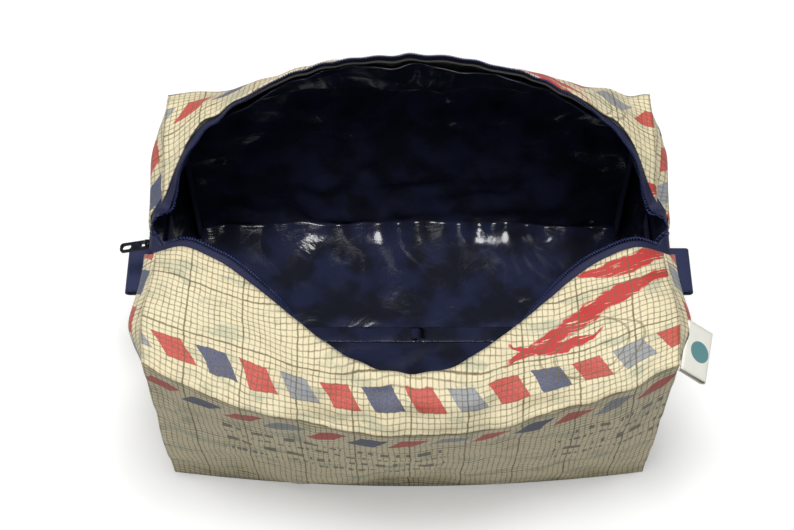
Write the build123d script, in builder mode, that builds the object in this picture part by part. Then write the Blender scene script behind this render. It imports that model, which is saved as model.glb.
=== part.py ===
from build123d import *
import os
from math import cos, radians, sin, sqrt

os.makedirs("parts", exist_ok=True)

# A soft box pouch for make-up, standing on its base with its zip run open.
# X runs along the bag, the front is -Y, and the origin is the middle of the base.

# ---------------------------------------------------------------- driving dimensions, millimetres
bag_width = 240.0  # between the left and the right corner seams
bag_depth = 150.0  # between the front and the back corner seams
bag_height = 119.0  # of the corner seams above the base
seam_setback = 3.0  # how far behind the middle the base seam and both zip ends lie

front_foot_swell = 8.0  # the base's front edge bows forward by this much at its middle
front_crease_swell = 29.0  # the front top edge is pushed forward
front_crease_sag = 14.0  # and hangs lower at its middle
back_foot_swell = 3.0
back_crease_swell = 22.0
back_crease_sag = 14.0
face_bow = 2.0  # each face bulges past the line from its foot to its top edge
flap_bow = 3.0  # each flap bulges past the line from its top edge to its rim

mouth_front_gap = 17.0  # from the zip plane to the front cloth edge at each end of the mouth
mouth_back_gap = 17.0  # the same for the back cloth edge
front_rim_overhang = 9.0  # the front cloth edge's middle is drawn this far past the corner seams
front_rim_drop = 7.0  # its ends lie below the corner seams' tops
front_rim_rise = 10.0  # it climbs by this much away from its ends
front_rim_sag = 4.0  # and hangs by this much at its middle
front_rim_roll = 0.75  # share of the wall that the tape rolls over at that edge's middle
front_pull_power = 2.5  # how narrow the drawn-forward part of the edge is
front_rise_power = 0.25  # how quickly it climbs from its ends
back_rim_overhang = 3.0  # the back cloth edge's middle stands this far behind the corner seams
back_rim_drop = 9.0  # its ends lie below the corner seams' tops
back_rim_rise = 37.0  # the back flap stands up like a collar
back_rise_power = 0.6  # how quickly it climbs from its ends

end_bulge = 7.0  # each end wall bulges past its corner seams
end_flat_share = 0.62  # width of the end wall's flat middle, as a share of the depth
end_flat_lift = 22.0  # its lower edge above the base

outer_cloth = 0.9
interlining_cloth = 1.6
lining_cloth = 0.5
layer_gap = 0.15  # between neighbouring layers of the wall
panel_gap = 0.2  # between the front and the back panels at the base seam

end_seam_height = 72.0  # level seam on each end wall, where the zip ends
shoulder_drop = 13.0  # the zip turns from the end wall into the mouth this far below the corner seams' tops
zip_recess = 3.0  # the zip lies this far inside the end wall's outer face
zip_tape_width = 5.2  # of one tape, outside its coil
zip_tape_thickness = 0.5
zip_edge_gap = 0.5  # between a tape and its cloth edge
cut_edge_slant = 0.8  # the cloth's cut edge leans into the mouth by this much
coil_width = 2.0  # of one row
coil_thickness = 1.6
coil_gap = 0.2  # between a row and its tape
row_spacing = 2.4  # between the two rows on the end walls, around the slider's nose

slider_length = 10.0
slider_plate = 1.1
slider_wall = 0.8
slider_clearance = 0.15  # around the rows and the tapes
slider_drop = 11.0  # from the zip's shoulder down to the slider's middle when the zip is open
slider_nose_radius = 0.9
bridge_width = 1.6
bridge_thickness = 1.0
bridge_reach = 3.3  # from the pull tab's axis to the outside of each foot
pull_length = 15.0  # from the pull tab's axis to its tip
pull_width = 5.0
pull_thickness = 1.3
pull_clearance = 0.2  # between the pull tab and the bridge
pull_tip_radius = 1.6
pull_frame = 1.1  # metal left round the window
pull_window_length = 4.8
pull_rest_angle = 75.0  # degrees out from hanging straight down the end wall

stop_length = 1.8  # along the zip
stop_wall = 0.6
stop_clearance = 0.1
stop_gap = 0.4  # below the slider

tab_width = 25.0
tab_reach = 14.0  # from the end wall to the fold
tab_cloth = 1.4
tab_fold_gap = 1.6  # between the two layers of the folded webbing
tab_gap = 0.3

label_width = 26.0
label_reach = 16.0
label_cloth = 0.5
label_fold_gap = 2.4
label_gap = 0.3
label_droop = 35.0  # degrees below level
label_drop = 7.0  # from the corner seams' tops down to the label's root
label_setback = 14.0  # of its middle behind the front corner seam, along the end wall

binding_width = 9.0
binding_thickness = 1.8
binding_gap = 0.3
corner_binding_foot = 8.0  # above the base
corner_binding_drop = 23.0  # from the corner seams' tops
base_binding_inset = 6.0  # from each end wall
end_binding_inset = 7.5  # from each side of the end wall's flat middle

# ---------------------------------------------------------------- worked-out places
half_width = bag_width / 2
half_depth = bag_depth / 2
end_face_x = half_width + end_bulge
zip_x = end_face_x - zip_recess
wall = outer_cloth + interlining_cloth + lining_cloth + 2 * layer_gap
front_rim_pull = half_depth + front_rim_overhang + seam_setback - mouth_front_gap
front_rim_height = bag_height - front_rim_drop
back_rim_reach = half_depth + back_rim_overhang - seam_setback - mouth_back_gap
back_rim_height = bag_height - back_rim_drop
shoulder_height = bag_height - shoulder_drop
slider_height = shoulder_height - slider_drop
label_height = bag_height - label_drop
mouth_top = bag_height + back_rim_rise + bag_depth
rim_stations = [-0.9, -0.75, -0.6, -0.45, -0.3, -0.15, 0, 0.15, 0.3, 0.45, 0.6, 0.75, 0.9]
stations = [-1, *rim_stations, 1]


# ---------------------------------------------------------------- shape of the cloth
def section_path(share):
    """Outside of the cloth across the bag, from the front rim round the base to the back rim.

    share is the place along X: 0 in the middle and 1 at a corner seam. Each point is (y, z).
    """
    middle = 1 - share * share
    front_rim = (
        seam_setback - mouth_front_gap - front_rim_pull * middle**front_pull_power,
        front_rim_height + front_rim_rise * middle**front_rise_power - front_rim_sag * middle**2,
    )
    front_crease = (
        -half_depth - front_crease_swell * middle,
        bag_height - front_crease_sag * middle,
    )
    front_foot = (-half_depth - front_foot_swell * middle, 0)
    back_foot = (half_depth + back_foot_swell * middle, 0)
    back_crease = (
        half_depth + back_crease_swell * middle,
        bag_height - back_crease_sag * middle,
    )
    back_rim = (
        seam_setback + mouth_back_gap + back_rim_reach * sqrt(middle),
        back_rim_height + back_rim_rise * middle**back_rise_power,
    )
    return [
        front_rim,
        bowed(front_rim, front_crease, flap_bow),
        front_crease,
        bowed(front_crease, front_foot, face_bow),
        front_foot,
        back_foot,
        bowed(back_foot, back_crease, face_bow),
        back_crease,
        bowed(back_crease, back_rim, flap_bow),
        back_rim,
    ]


def bowed(start, end, bow):
    """Middle of the line from start to end, moved out of the bag by bow."""
    run_y = end[0] - start[0]
    run_z = end[1] - start[1]
    length = sqrt(run_y**2 + run_z**2)
    middle_y = (start[0] + end[0]) / 2
    middle_z = (start[1] + end[1]) / 2
    return (middle_y + bow * run_z / length, middle_z - bow * run_y / length)


def end_path():
    """The same path on the flat middle of an end wall."""
    lift = 1 - end_flat_lift / bag_height
    return [
        (seam_setback + (y - seam_setback) * end_flat_share, end_flat_lift + z * lift)
        for y, z in section_path(1)
    ]


def inset(path, distance):
    """The path moved into the bag, with mitred corners."""
    normals = []
    for start, end in zip(path, path[1:]):
        run = Vector(end[0] - start[0], end[1] - start[1])
        normals.append(Vector(-run.Y, run.X).normalized())
    corners = [normals[0] * distance]
    for before, after in zip(normals, normals[1:]):
        corners.append((before + after) * (distance / (1 + before.dot(after))))
    corners.append(normals[-1] * distance)
    return [(point[0] + move.X, point[1] + move.Y) for point, move in zip(path, corners)]


def section_face(x, path, open_top):
    """Face inside the path at x, closed across the rims or carried up through the mouth."""
    top = [(path[-1][0], mouth_top), (path[0][0], mouth_top)] if open_top else []
    with BuildSketch(Plane.YZ.offset(x)) as section:
        with BuildLine():
            Polyline(*path, *top, close=True)
        make_face()
    return section.sketch


def bag_volume(distance, mode=Mode.ADD, open_top=False):
    """Everything inside the cloth surface that lies this far in from the outside."""
    reach = half_width - distance
    sections = [section_face(s * reach, inset(section_path(s), distance), open_top) for s in stations]
    loft(sections, ruled=True, mode=mode)
    for side in (-1, 1):
        corner = section_face(side * reach, inset(section_path(1), distance), open_top)
        flat = section_face(side * (end_face_x - distance), inset(end_path(), distance), open_top)
        loft([corner, flat], ruled=True, mode=mode)


def cut_zip_slots():
    """Openings in both end walls that the zip lies in, from the level seams up."""
    slot_half = row_spacing / 2 + coil_width + coil_gap + zip_tape_width + zip_edge_gap
    slot_top = bag_height + end_bulge
    slot_depth = end_bulge + 4 * wall
    slot_centre = end_face_x - end_bulge / 2 - wall
    for side in (-1, 1):
        with Locations((side * slot_centre, seam_setback, (end_seam_height + slot_top) / 2)):
            Box(slot_depth, 2 * slot_half, slot_top - end_seam_height, mode=Mode.SUBTRACT)


def keep_front():
    split(bisect_by=Plane.XZ.offset(-seam_setback + panel_gap / 2), keep=Keep.TOP)


def keep_back():
    split(bisect_by=Plane.XZ.offset(-seam_setback - panel_gap / 2), keep=Keep.BOTTOM)


# ---------------------------------------------------------------- wall of the bag
def cloth_layer(outside, thickness):
    """One layer of the whole wall, open at the mouth and at the zip slots."""
    with BuildPart() as layer:
        bag_volume(outside)
        bag_volume(outside + thickness, Mode.SUBTRACT, open_top=True)
        cut_zip_slots()
    return layer.part


interlining_outside = outer_cloth + layer_gap
lining_outside = interlining_outside + interlining_cloth + layer_gap
outer_layer = cloth_layer(0, outer_cloth)
interlining_layer = cloth_layer(interlining_outside, interlining_cloth)
lining_layer = cloth_layer(lining_outside, lining_cloth)

with BuildPart() as outer_front_panel:
    add(outer_layer)
    keep_front()

with BuildPart() as outer_back_panel:
    add(outer_layer)
    keep_back()

with BuildPart() as front_interlining:
    add(interlining_layer)
    keep_front()

with BuildPart() as back_interlining:
    add(interlining_layer)
    keep_back()

with BuildPart() as lining_front_panel:
    add(lining_layer)
    keep_front()

with BuildPart() as lining_back_panel:
    add(lining_layer)
    keep_back()


# ---------------------------------------------------------------- zip tapes and coil rows
row_inside = row_spacing / 2  # from the zip plane to a row's meshing edge, on the end walls
row_outside = row_inside + coil_width
tape_inside = row_outside + coil_gap


def rim_place(side, share):
    """Where a tape meets its cloth edge in the mouth, and the way it leaves it."""
    path = inset(section_path(share), outer_cloth / 2)
    rim, flap = (path[0], path[1]) if side < 0 else (path[-1], path[-2])
    out = Vector(0, rim[0] - flap[0], rim[1] - flap[1]).normalized()
    hang = (1 - share * share) ** 3 if side < 0 else 0
    place = Vector(share * half_width, *rim) + out * (cut_edge_slant + hang * front_rim_roll * wall)
    return place, out * (1 - hang) + Vector(0, 0, -1) * hang


def wall_place(side, end, height):
    """The same on an end wall."""
    across = tape_inside + zip_tape_width + zip_edge_gap
    return Vector(end * zip_x, seam_setback + side * across, height), Vector(0, -side, 0)


def zip_places(side):
    """Cloth edge, and the unit way across the tape, from the left end seam to the right one."""
    left = [wall_place(side, -1, end_seam_height), wall_place(side, -1, shoulder_height)]
    right = [wall_place(side, 1, shoulder_height), wall_place(side, 1, end_seam_height)]
    places = left + [rim_place(side, share) for share in stations] + right
    squared = []
    for number, (place, way) in enumerate(places):
        if 1 < number < len(places) - 2:
            along = (places[number + 1][0] - places[number - 1][0]).normalized()
            way = way - along * way.dot(along)
        squared.append((place, way.normalized()))
    return squared


def zip_line(places, reach):
    """Points along a whole tape at this distance from its own cloth side."""
    return [place + way * (zip_edge_gap + reach) for place, way in places]


coil_near = zip_tape_width + coil_gap
coil_far = coil_near + coil_width


def zip_strip(side, near, far, thickness):
    """Strip of the zip between two reaches, with straight runs between its points."""
    places = zip_places(side)
    centre = zip_line(places, coil_far / 2)
    last = len(places) - 1
    sections = []
    for number, (first, second) in enumerate(zip(zip_line(places, near), zip_line(places, far))):
        along = centre[min(number + 1, last)] - centre[max(number - 1, 0)]
        if number in (0, 1):
            along = Vector(0, 0, 1)
        if number in (last - 1, last):
            along = Vector(0, 0, -1)
        half = along.cross(places[number][1]).normalized() * (thickness / 2)
        corners = [first - half, second - half, second + half, first + half]
        sections.append(Face(Wire.make_polygon(corners, close=True)))
    loft(sections, ruled=True)


with BuildPart() as zip_tape_front:
    zip_strip(-1, 0, zip_tape_width, zip_tape_thickness)

with BuildPart() as zip_tape_back:
    zip_strip(1, 0, zip_tape_width, zip_tape_thickness)

with BuildPart() as zip_coil_front:
    zip_strip(-1, coil_near, coil_far, coil_thickness)

with BuildPart() as zip_coil_back:
    zip_strip(1, coil_near, coil_far, coil_thickness)


# ---------------------------------------------------------------- slider, bridge and pull tab
# The slider lies on the left end wall. Its frame's X runs down the zip and its Z points out of the bag.
slider_frame = Plane(origin=(-zip_x, seam_setback, slider_height), x_dir=(0, 0, -1), z_dir=(-1, 0, 0))
channel_height = coil_thickness + 2 * slider_clearance
tape_slot = zip_tape_thickness + 2 * slider_clearance
slider_width = 2 * (row_outside + slider_clearance + slider_wall)
slider_corner = slider_width / 4
flange_place = (slider_width - slider_wall) / 2
flange_length = slider_length - 2 * slider_corner
nose_place = slider_nose_radius + slider_wall - slider_length / 2

with BuildPart() as slider_body:
    for face in (-1, 1):
        with BuildSketch(slider_frame.offset(face * channel_height / 2)):
            RectangleRounded(slider_length, slider_width, slider_corner)
        extrude(amount=face * slider_plate)
        with BuildSketch(slider_frame.offset(face * tape_slot / 2)):
            with Locations((0, -flange_place), (0, flange_place)):
                Rectangle(flange_length, slider_wall)
        extrude(amount=face * (channel_height - tape_slot) / 2)
    with BuildSketch(slider_frame.offset(-channel_height / 2)):
        with Locations((nose_place, 0)):
            Circle(slider_nose_radius)
    extrude(amount=channel_height)

zip_plane = Plane.XZ.offset(-seam_setback)
plate_face_x = -zip_x - channel_height / 2 - slider_plate
bridge_inside = 2 * pull_clearance + pull_thickness
bridge_height = bridge_inside + bridge_thickness

with BuildPart() as slider_bridge:
    with BuildSketch(zip_plane) as arch:
        with Locations((plate_face_x - bridge_height / 2, slider_height)):
            Rectangle(bridge_height, 2 * bridge_reach)
        fillet(arch.vertices().group_by(Axis.X)[0], bridge_thickness)
        with Locations((plate_face_x - bridge_inside / 2, slider_height)):
            Rectangle(bridge_inside, 2 * (bridge_reach - bridge_thickness), mode=Mode.SUBTRACT)
    extrude(amount=bridge_width / 2, both=True)

pull_axis_x = plate_face_x - pull_clearance - pull_thickness / 2
pull_angle = radians(pull_rest_angle)
pull_plane = Plane(
    origin=(pull_axis_x, seam_setback, slider_height),
    x_dir=(-sin(pull_angle), 0, -cos(pull_angle)),
    z_dir=(cos(pull_angle), 0, -sin(pull_angle)),
)
bridge_rise = bridge_height - pull_clearance - pull_thickness / 2
eye_length = sqrt(bridge_reach**2 + bridge_rise**2) + pull_clearance
eye_width = bridge_width + 2 * pull_clearance
window_width = pull_width - 2 * pull_frame
window_place = pull_length - pull_frame - pull_window_length / 2

with BuildPart() as pull_tab:
    with BuildSketch(pull_plane.offset(-pull_thickness / 2)) as plate:
        with Locations((pull_length / 2, 0)):
            Rectangle(pull_length, pull_width)
        fillet(plate.vertices().group_by(Axis.X)[-1], pull_tip_radius)
        with Locations((eye_length / 2, 0)):
            Rectangle(eye_length, eye_width, mode=Mode.SUBTRACT)
        with Locations((window_place, 0)):
            SlotOverall(pull_window_length, window_width, mode=Mode.SUBTRACT)
    extrude(amount=pull_thickness)
    with BuildSketch(zip_plane):
        with Locations((pull_axis_x, slider_height)):
            Circle(pull_thickness / 2)
    extrude(amount=pull_width / 2, both=True)


# ---------------------------------------------------------------- zip stops
stop_bar_place = coil_thickness / 2 + stop_clearance + stop_wall / 2
stop_height = slider_height - slider_length / 2 - stop_gap - stop_length / 2

# One stop clamps both rows under the slider.
with BuildPart() as zip_bottom_stop:
    for face in (-1, 1):
        with Locations((-zip_x + face * stop_bar_place, seam_setback, stop_height)):
            Box(stop_wall, 2 * row_outside, stop_length)
    with Locations((-zip_x, seam_setback, stop_height)):
        Box(2 * stop_bar_place, row_spacing - 2 * stop_clearance, stop_length)

# At the right end each row has its own.
with BuildPart() as zip_top_stops:
    for row in (-1, 1):
        web_place = row * (row_inside - stop_clearance - stop_wall / 2)
        with Locations((zip_x, seam_setback + web_place, stop_height)):
            Box(2 * stop_bar_place, stop_wall, stop_length)
        bar_width = row_outside - row_inside + stop_clearance + stop_wall
        bar_place = row * (row_outside - bar_width / 2)
        for face in (-1, 1):
            with Locations((zip_x + face * stop_bar_place, seam_setback + bar_place, stop_height)):
                Box(stop_wall, bar_width, stop_length)


# ---------------------------------------------------------------- folded ribbons
def fold_profile(root, toward, along, reach, cloth, fold_gap):
    """Profile of a ribbon folded on itself: from the root toward the fold, with its width along."""
    outer_radius = fold_gap / 2 + cloth
    straight = reach - outer_radius
    with BuildSketch(Plane(origin=root, x_dir=toward, z_dir=along)) as fold:
        with Locations((straight / 2, 0)):
            Rectangle(straight, 2 * outer_radius)
        with Locations((straight, 0)):
            Circle(outer_radius)
        with Locations((straight / 2, 0)):
            Rectangle(straight, fold_gap, mode=Mode.SUBTRACT)
        with Locations((straight, 0)):
            Circle(fold_gap / 2, mode=Mode.SUBTRACT)
    return fold.sketch


tab_height = end_seam_height - tab_gap - tab_cloth - tab_fold_gap / 2


def end_tab_profile(end):
    root = (end * (end_face_x + tab_gap), seam_setback, tab_height)
    return fold_profile(root, (end, 0, 0), (0, 1, 0), tab_reach, tab_cloth, tab_fold_gap)


with BuildPart() as left_end_tab:
    extrude(end_tab_profile(-1), amount=tab_width / 2, both=True)

with BuildPart() as right_end_tab:
    extrude(end_tab_profile(1), amount=tab_width / 2, both=True)

# The label hangs out of the slanting part of the right end wall, behind the front corner seam.
flat_front = seam_setback - (half_depth + seam_setback) * end_flat_share
slant = Vector(end_bulge, flat_front + half_depth, 0).normalized()
slant_out = Vector(slant.Y, -slant.X, 0)
droop = radians(label_droop)
label_toward = slant_out * cos(droop) - Vector(0, 0, 1) * sin(droop)
label_lift = label_gap + (label_cloth + label_fold_gap / 2) * sin(droop)
label_root = Vector(half_width, -half_depth, label_height) + slant * label_setback + slant_out * label_lift

with BuildPart() as side_label:
    profile = fold_profile(label_root, label_toward, slant, label_reach, label_cloth, label_fold_gap)
    extrude(profile, amount=label_width / 2, both=True)

# ---------------------------------------------------------------- bound seam allowances inside
binding_lift = wall + binding_gap + binding_thickness / 2
corner_binding_x = half_width - binding_lift
corner_binding_y = half_depth - wall - binding_gap - binding_width / 2
corner_binding_height = bag_height - corner_binding_drop - corner_binding_foot
corner_binding_z = corner_binding_foot + corner_binding_height / 2


def corner_binding(end, side):
    with BuildPart() as binding:
        with Locations((end * corner_binding_x, side * corner_binding_y, corner_binding_z)):
            Box(binding_thickness, binding_width, corner_binding_height)
    return binding


def end_seam_binding(end):
    flat_depth = 2 * (half_depth * end_flat_share - wall - end_binding_inset)
    with BuildPart() as binding:
        with Locations((end * (end_face_x - binding_lift), seam_setback, end_seam_height - binding_width)):
            Box(binding_thickness, flat_depth, binding_width)
    return binding


front_left_corner_binding = corner_binding(-1, -1)
front_right_corner_binding = corner_binding(1, -1)
back_left_corner_binding = corner_binding(-1, 1)
back_right_corner_binding = corner_binding(1, 1)
left_end_seam_binding = end_seam_binding(-1)
right_end_seam_binding = end_seam_binding(1)

with BuildPart() as base_seam_binding:
    with Locations((0, seam_setback, binding_lift)):
        Box(2 * (half_width - wall - base_binding_inset), binding_width, binding_thickness)

# ---------------------------------------------------------------- files
pieces = {
    "outer_front_panel": outer_front_panel,
    "outer_back_panel": outer_back_panel,
    "front_interlining": front_interlining,
    "back_interlining": back_interlining,
    "lining_front_panel": lining_front_panel,
    "lining_back_panel": lining_back_panel,
    "zip_tape_front": zip_tape_front,
    "zip_tape_back": zip_tape_back,
    "zip_coil_front": zip_coil_front,
    "zip_coil_back": zip_coil_back,
    "zip_bottom_stop": zip_bottom_stop,
    "zip_top_stops": zip_top_stops,
    "slider_body": slider_body,
    "slider_bridge": slider_bridge,
    "pull_tab": pull_tab,
    "left_end_tab": left_end_tab,
    "right_end_tab": right_end_tab,
    "side_label": side_label,
    "front_left_corner_binding": front_left_corner_binding,
    "front_right_corner_binding": front_right_corner_binding,
    "back_left_corner_binding": back_left_corner_binding,
    "back_right_corner_binding": back_right_corner_binding,
    "left_end_seam_binding": left_end_seam_binding,
    "right_end_seam_binding": right_end_seam_binding,
    "base_seam_binding": base_seam_binding,
}
for name, piece in pieces.items():
    piece.part.label = name
    export_step(piece.part, f"parts/{name}.step")
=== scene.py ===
"""A soft box pouch for make-up, standing open on a white table.

Shapes are worked out in millimetres and turned into metres when a mesh is made. X runs along
the bag, the front is -Y, and the origin is the middle of the base.
"""

import math

import bmesh
import bpy
import numpy as np
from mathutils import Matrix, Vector


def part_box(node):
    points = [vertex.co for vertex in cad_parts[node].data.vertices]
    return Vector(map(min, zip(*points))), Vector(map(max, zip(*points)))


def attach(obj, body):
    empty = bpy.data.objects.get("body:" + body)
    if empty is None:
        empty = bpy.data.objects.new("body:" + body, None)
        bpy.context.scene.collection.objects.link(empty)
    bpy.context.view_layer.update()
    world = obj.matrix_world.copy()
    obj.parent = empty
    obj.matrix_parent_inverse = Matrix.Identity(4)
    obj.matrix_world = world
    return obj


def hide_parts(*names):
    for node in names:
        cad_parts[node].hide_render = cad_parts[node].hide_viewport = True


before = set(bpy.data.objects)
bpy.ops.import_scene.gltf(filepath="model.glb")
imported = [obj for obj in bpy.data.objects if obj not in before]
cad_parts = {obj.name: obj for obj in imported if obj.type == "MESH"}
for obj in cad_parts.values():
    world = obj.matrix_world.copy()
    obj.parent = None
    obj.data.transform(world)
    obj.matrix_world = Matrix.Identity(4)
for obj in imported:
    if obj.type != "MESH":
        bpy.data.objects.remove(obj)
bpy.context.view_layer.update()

MM = 0.001
INCH = 25.4  # spacing of the print's heavy lines; the maps of the cloth are in this unit

# ---------------------------------------------------------------- sizes, millimetres
HALF_WIDTH = 120.0
HALF_DEPTH = 75.0
HEIGHT = 119.0
SEAM_Y = 3.0
END_X = 127.0
ZIP_X = 124.0
END_SEAM_Z = 72.0
SHOULDER_Z = 106.0
ZIP_STATIONS = (END_SEAM_Z, 84, 95, 102, SHOULDER_Z + 1.5)  # heights where the zip is straight
RIM_GAP = 17.0
SLOT_HALF = 9.1
OUTER_CLOTH = 0.9
FELT_DEPTH = 1.4  # the felt lies this far inside the outer cloth's face
FELT_CLOTH = 1.1
LINING_DEPTH = 2.8
LINING_CLOTH = 0.5
TAPE_WIDTH = 5.2
TAPE_THICKNESS = 0.5
EDGE_GAP = 0.5
COIL_NEAR = 5.4
COIL_WIDTH = 2.0
COIL_HEIGHT = 1.5
COIL_PITCH = 1.25
COIL_WIRE = 0.3
TAPE_UNDER = 0.9  # the tape lies this far below the cloth edge in the mouth
LIP_COVER = 2.4  # and this much more under the rolled lip at the front's middle
FOLD_RIDGE = 0.5  # height of the pinched fold along the top edge
TURNED_EDGE = 1.6  # the outer cloth's turned edge laps over the tape by this much

# the curves along the bag, from the corner seams to the middle
FRONT_RIM_PULL = 70.0  # the open rim of the front is drawn back this far
FRONT_PULL_POWER = 2.5
FRONT_RIM_Z = 112.0
FRONT_RIM_RISE = 10.0
FRONT_RISE_POWER = 0.25
FRONT_RIM_SAG = 4.0
BACK_RIM_REACH = 58.0
BACK_RIM_Z = 110.0
BACK_RIM_RISE = 37.0
BACK_RISE_POWER = 0.6
FRONT_CREASE_BULGE = 29.0
BACK_CREASE_BULGE = 22.0
CREASE_SAG = 14.0
FRONT_FOOT_BULGE = 8.0
BACK_FOOT_BULGE = 3.0
FLAP_BOW = 3.0
FACE_BOW = 2.0

# the boxed corners
EAR_REACH = 3.6  # the front ones stand this far past the corner seams
BACK_EAR_REACH = 0.3 * EAR_REACH
EAR_PLACE = 50.0
EAR_SPREAD = 19.0
EAR_FOOT_Z = 62.0
EAR_RISE = 50.0
EAR_SHARE = 0.7  # part of the ear that the corner seam itself takes

# the front lip rolls down into the mouth
ROLL_ROWS = 6
ROLL_FADE = 1.6
ROLL_LIFT = 0.5
LIP_REACH = 3.4
LIP_DROP = 3.6

# relief of the cloth and of the lining
SAG = 1.5
CREASE = 0.8
PUCKER = 1.3
PUCKER_REACH = 45.0
BACK_PUCKER = 0.4
SEAM_HOLD = 8.0  # the relief fades within this distance of the seam between the panels
LINING_FOLD = 1.6
LINING_CRINKLE = 0.12
LINING_OFF = 0.4
LINING_SEAM_HOLD = 10.0
CORNER_RADIUS = 12.0
CORNER_FOLD = 2.6
CORNER_WANDER = 2.2

# the end walls
LEAN_Z = 96.0  # above this the edge beside the zip leans out to the rim
LEAN_RISE = 16.0
BULGE_FROM_CORNER = 32.0
BULGE_FROM_BASE = 26.0
BULGE_FROM_TOP = 8.0

STATIONS = np.array([-1, -0.9, -0.75, -0.6, -0.45, -0.3, -0.15, 0, 0.15, 0.3, 0.45, 0.6, 0.75, 0.9, 1])

# counts of quads along each part of a panel
FLAP_ROWS = 26
FACE_ROWS = 48
SLOT_COLUMNS = 4
BASE_ROWS = FLAP_ROWS + SLOT_COLUMNS
COLUMNS = 104
SEAM_ROW = 31  # of an end wall, at the level seam


# ---------------------------------------------------------------- helpers
def spline(knots, values, at):
    """Smooth curve through values at the knots, read at every place in at."""
    knots, values, at = np.asarray(knots, float), np.asarray(values, float), np.asarray(at, float)
    slopes = np.gradient(values, knots, axis=0)
    cell = np.clip(np.searchsorted(knots, at, side="right") - 1, 0, len(knots) - 2)
    step = knots[cell + 1] - knots[cell]
    f = (at - knots[cell]) / step
    if values.ndim > 1:
        f, step = f[:, None], step[:, None]
    return (
        (2 * f**3 - 3 * f**2 + 1) * values[cell]
        + (f**3 - 2 * f**2 + f) * step * slopes[cell]
        + (3 * f**2 - 2 * f**3) * values[cell + 1]
        + (f**3 - f**2) * step * slopes[cell + 1]
    )


def ease(f):
    f = np.clip(f, 0, 1)
    return f * f * (3 - 2 * f)


def ripples(seed, waves, shortest, longest):
    """Smooth random height over the cloth, about 1 high, from waves of these lengths in millimetres."""
    dice = np.random.RandomState(seed)
    terms = []
    for _ in range(waves):
        turn = dice.uniform(0, math.pi)
        length = dice.uniform(shortest, longest)
        terms.append((math.cos(turn) / length, math.sin(turn) / length, dice.uniform(0, 1)))

    def height(u, v):
        total = sum(np.sin(2 * math.pi * (a * u + b * v + c)) for a, b, c in terms)
        return total / math.sqrt(waves)

    return height


def new_object(name, mesh):
    obj = bpy.data.objects.new(name, mesh)
    bpy.context.scene.collection.objects.link(obj)
    return obj


def patches_object(name, patches):
    """One mesh from grids of points in millimetres with their maps; shared edges are welded."""
    build = bmesh.new()
    layer = build.loops.layers.uv.new("cloth")
    for points, maps, kept in patches:
        rows, columns = points.shape[:2]
        verts = [[build.verts.new(points[r, c] * MM) for c in range(columns)] for r in range(rows)]
        for r in range(rows - 1):
            for c in range(columns - 1):
                if not kept[r, c]:
                    continue
                corners = [(r, c), (r, c + 1), (r + 1, c + 1), (r + 1, c)]
                face = build.faces.new([verts[i][j] for i, j in corners])
                face.smooth = True
                for loop, (i, j) in zip(face.loops, corners):
                    loop[layer].uv = maps[i, j] / INCH
    bmesh.ops.delete(build, geom=[v for v in build.verts if not v.link_faces], context="VERTS")
    bmesh.ops.remove_doubles(build, verts=build.verts, dist=0.02 * MM)
    bmesh.ops.recalc_face_normals(build, faces=build.faces)
    mesh = bpy.data.meshes.new(name)
    build.to_mesh(mesh)
    build.free()
    return new_object(name, mesh)


def point_outwards(obj, inside):
    """Turns the mesh over if its faces look towards the point inside it."""
    mesh = obj.data
    votes = sum((p.center - inside).dot(p.normal) * p.area for p in mesh.polygons)
    if votes < 0:
        mesh.flip_normals()


def thicken(obj, thickness, offset=-1.0):
    solid = obj.modifiers.new("thickness", "SOLIDIFY")
    solid.thickness = thickness * MM
    solid.offset = offset
    solid.use_even_offset = False


# ---------------------------------------------------------------- shape of the bag
def key_points(share):
    """Rim, crease and foot of the front, then foot, crease and rim of the back, as (y, z)."""
    m = 1 - share * share  # 1 at the middle of the bag, 0 at the corner seams
    return [
        (SEAM_Y - RIM_GAP - FRONT_RIM_PULL * m**FRONT_PULL_POWER,
         FRONT_RIM_Z + FRONT_RIM_RISE * m**FRONT_RISE_POWER - FRONT_RIM_SAG * m**2),
        (-HALF_DEPTH - FRONT_CREASE_BULGE * m, HEIGHT - CREASE_SAG * m),
        (-HALF_DEPTH - FRONT_FOOT_BULGE * m, 0.0),
        (HALF_DEPTH + BACK_FOOT_BULGE * m, 0.0),
        (HALF_DEPTH + BACK_CREASE_BULGE * m, HEIGHT - CREASE_SAG * m),
        (SEAM_Y + RIM_GAP + BACK_RIM_REACH * math.sqrt(m), BACK_RIM_Z + BACK_RIM_RISE * m**BACK_RISE_POWER),
    ]


def inset_points(points, depth):
    """The same path moved into the bag, with mitred corners."""
    path = np.array(points)
    runs = np.diff(path, axis=0)
    normals = np.stack([-runs[:, 1], runs[:, 0]], axis=1)
    normals /= np.linalg.norm(normals, axis=1)[:, None]
    moved = path.copy()
    moved[0] += normals[0] * depth
    moved[-1] += normals[-1] * depth
    for i in range(1, len(path) - 1):
        both = normals[i - 1] + normals[i]
        moved[i] += both * depth / (1 + normals[i - 1].dot(normals[i]))
    return moved


def key_curves(depth, share):
    """The six key points of the path at every share, smooth along the bag."""
    table = np.array([inset_points(key_points(s), depth) for s in STATIONS])
    flat = spline(STATIONS, table.reshape(len(STATIONS), -1), share)
    return flat.reshape(len(share), *table.shape[1:])


def bowed_run(start, end, f, bow):
    """Line from start to end, bulging by bow at its middle, to the right of its way."""
    run = end - start
    out = np.stack([run[..., 1], -run[..., 0]], axis=-1)
    out /= np.linalg.norm(out, axis=-1, keepdims=True)
    return start + run * f[:, None] + out * (4 * bow * f * (1 - f))[:, None]


def ear(y, z, side):
    """How far a boxed corner stands out sideways: soft ears at the top of the corner seams."""
    reach = EAR_REACH if side < 0 else BACK_EAR_REACH
    return reach * np.exp(-(((y * side - EAR_PLACE) / EAR_SPREAD) ** 2)) * ease((z - EAR_FOOT_Z) / EAR_RISE)


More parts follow.
